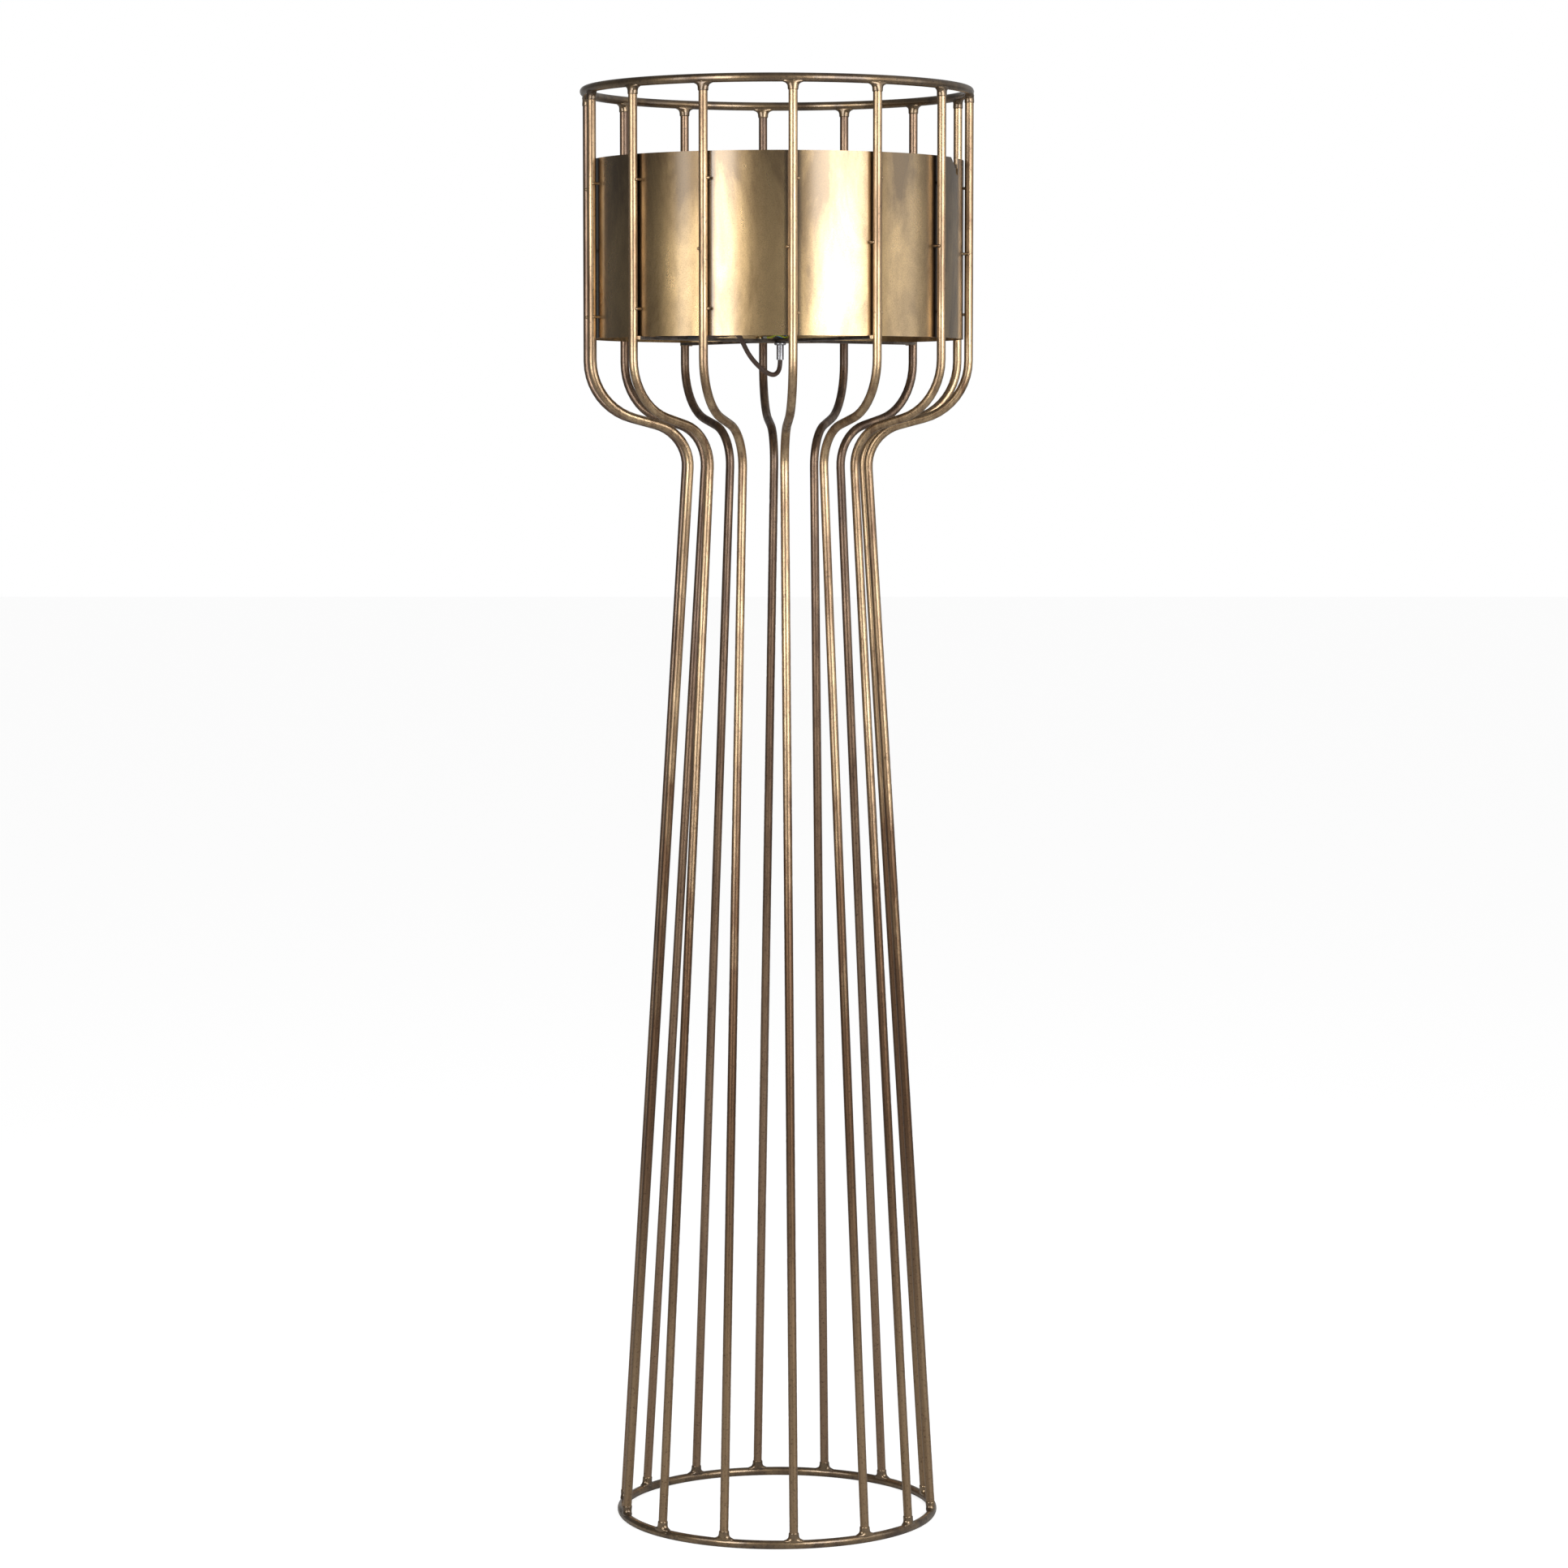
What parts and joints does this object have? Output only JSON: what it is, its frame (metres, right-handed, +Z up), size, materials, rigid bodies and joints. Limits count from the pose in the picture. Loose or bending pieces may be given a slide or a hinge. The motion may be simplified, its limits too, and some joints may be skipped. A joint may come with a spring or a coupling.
{
  "type": "cage floor lamp",
  "caption": "Tall open floor lamp: a cage of bent rods between two rings, waisted below a round sheet-metal shade band with a bulb holder inside.",
  "frame": {"origin": "on the floor, in the middle of the foot ring", "axes": "+Z up, -Y the front of the picture, +X to the right of it"},
  "size_m": [0.4499, 0.45, 1.65],
  "materials": {
    "rod_brass": "antique brass finish, satin, brown patina",
    "top_ring_bronze": "dark antique bronze, mottled",
    "foot_ring_bronze": "dark antique bronze, worn",
    "weld_bronze": "dark antique bronze",
    "band_brass": "satin antique brass, fine orange-peel grain",
    "tack_brass": "dark antique bronze",
    "strap_metal": "dull, grey-brown edges",
    "bracket_black": "satin black",
    "grip_nickel": "bright nickel",
    "nut_zinc": "zinc plated",
    "holder_black": "moulded, semi-gloss",
    "insert_ceramic": "plain white",
    "contact_brass": "bright",
    "spring_steel": "bright wire",
    "bulb_solder": "dull solder",
    "bulb_black": "black glass-like insulator",
    "bulb_cap_metal": "satin",
    "bulb_clear_glass": "clear",
    "earth_metal": "dull plated",
    "core_brown_sleeve": "brown insulation",
    "core_blue_sleeve": "blue insulation",
    "core_earth_sleeve": "green and yellow insulation",
    "cord_brown": "smooth brown sheath",
    "tie_black": "black strap",
    "plug_brown": "moulded, brown",
    "pin_nickel": "nickel plated"
  },
  "bodies": {
    "root": {"coil_tie": "tie_black", "contact_spring": "spring_steel", "contact_strips": "contact_brass", "cord_coil": "cord_brown", "cord_grip": "grip_nickel", "cord_in_grip": "cord_brown", "cord_loop": "cord_brown", "cord_tail": "cord_brown", "core_blue": "core_blue_sleeve", "core_brown": "core_brown_sleeve", "core_earth": "core_earth_sleeve", "earth_screw": "earth_metal", "earth_tag": "earth_metal", "foot_ring": "foot_ring_bronze", "foot_welds": "weld_bronze", "grip_nut": "nut_zinc", "holder_body": "holder_black", "holder_bracket": "bracket_black", "holder_cap": "holder_black", "holder_insert": "insert_ceramic", "holder_tube": "nut_zinc", "left_strap": "strap_metal", "long_strap": "strap_metal", "lower_tacks": "tack_brass", "middle_tacks": "tack_brass", "plug_body": "plug_brown", "plug_clips": "pin_nickel", "plug_pins": "pin_nickel", "right_strap": "strap_metal", "rod_01": "rod_brass", "rod_02": "rod_brass", "rod_03": "rod_brass", "rod_04": "rod_brass", "rod_05": "rod_brass", "rod_06": "rod_brass", "rod_07": "rod_brass", "rod_08": "rod_brass", "rod_09": "rod_brass", "rod_10": "rod_brass", "rod_11": "rod_brass", "rod_12": "rod_brass", "rod_13": "rod_brass", "rod_14": "rod_brass", "screw_shell": "contact_brass", "seam_strip": "band_brass", "shade_band": "band_brass", "strap_beads": "strap_metal", "terminal_screws": "contact_brass", "top_ring": "top_ring_bronze", "top_welds": "weld_bronze", "tube_nut": "nut_zinc", "upper_tacks": "tack_brass"},
    "contact": {"contact_plunger": "contact_brass"},
    "bulb": {"bulb_tip": "bulb_solder", "bulb_insulator": "bulb_black", "bulb_cap": "bulb_cap_metal", "bulb_glass": "bulb_clear_glass"},
    "switch": {"switch_spindle": "holder_black", "switch_knob": "holder_black"}
  },
  "joints": [
    {"name": "contact_slide", "type": "slide", "parent": "root", "child": "contact", "axis": [0, 0, 1], "range_m": [0, 0.00363], "deforming": ["contact_spring"]},
    {"name": "bulb_turn", "type": "hinge", "parent": "contact", "child": "bulb", "pos_m": [0.00367, -0.00481, 1.45], "axis": [0, 0, 1], "range_deg": [0, 360]},
    {"name": "switch_turn", "type": "hinge", "parent": "root", "child": "switch", "pos_m": [0.00367, -0.00481, 1.4232], "axis": [1, 0, 0], "continuous": true}
  ],
  "couplings": [
    {"joint": "contact_slide", "follows": "bulb_turn", "m_per_rad": 0.0005777}
  ]
}
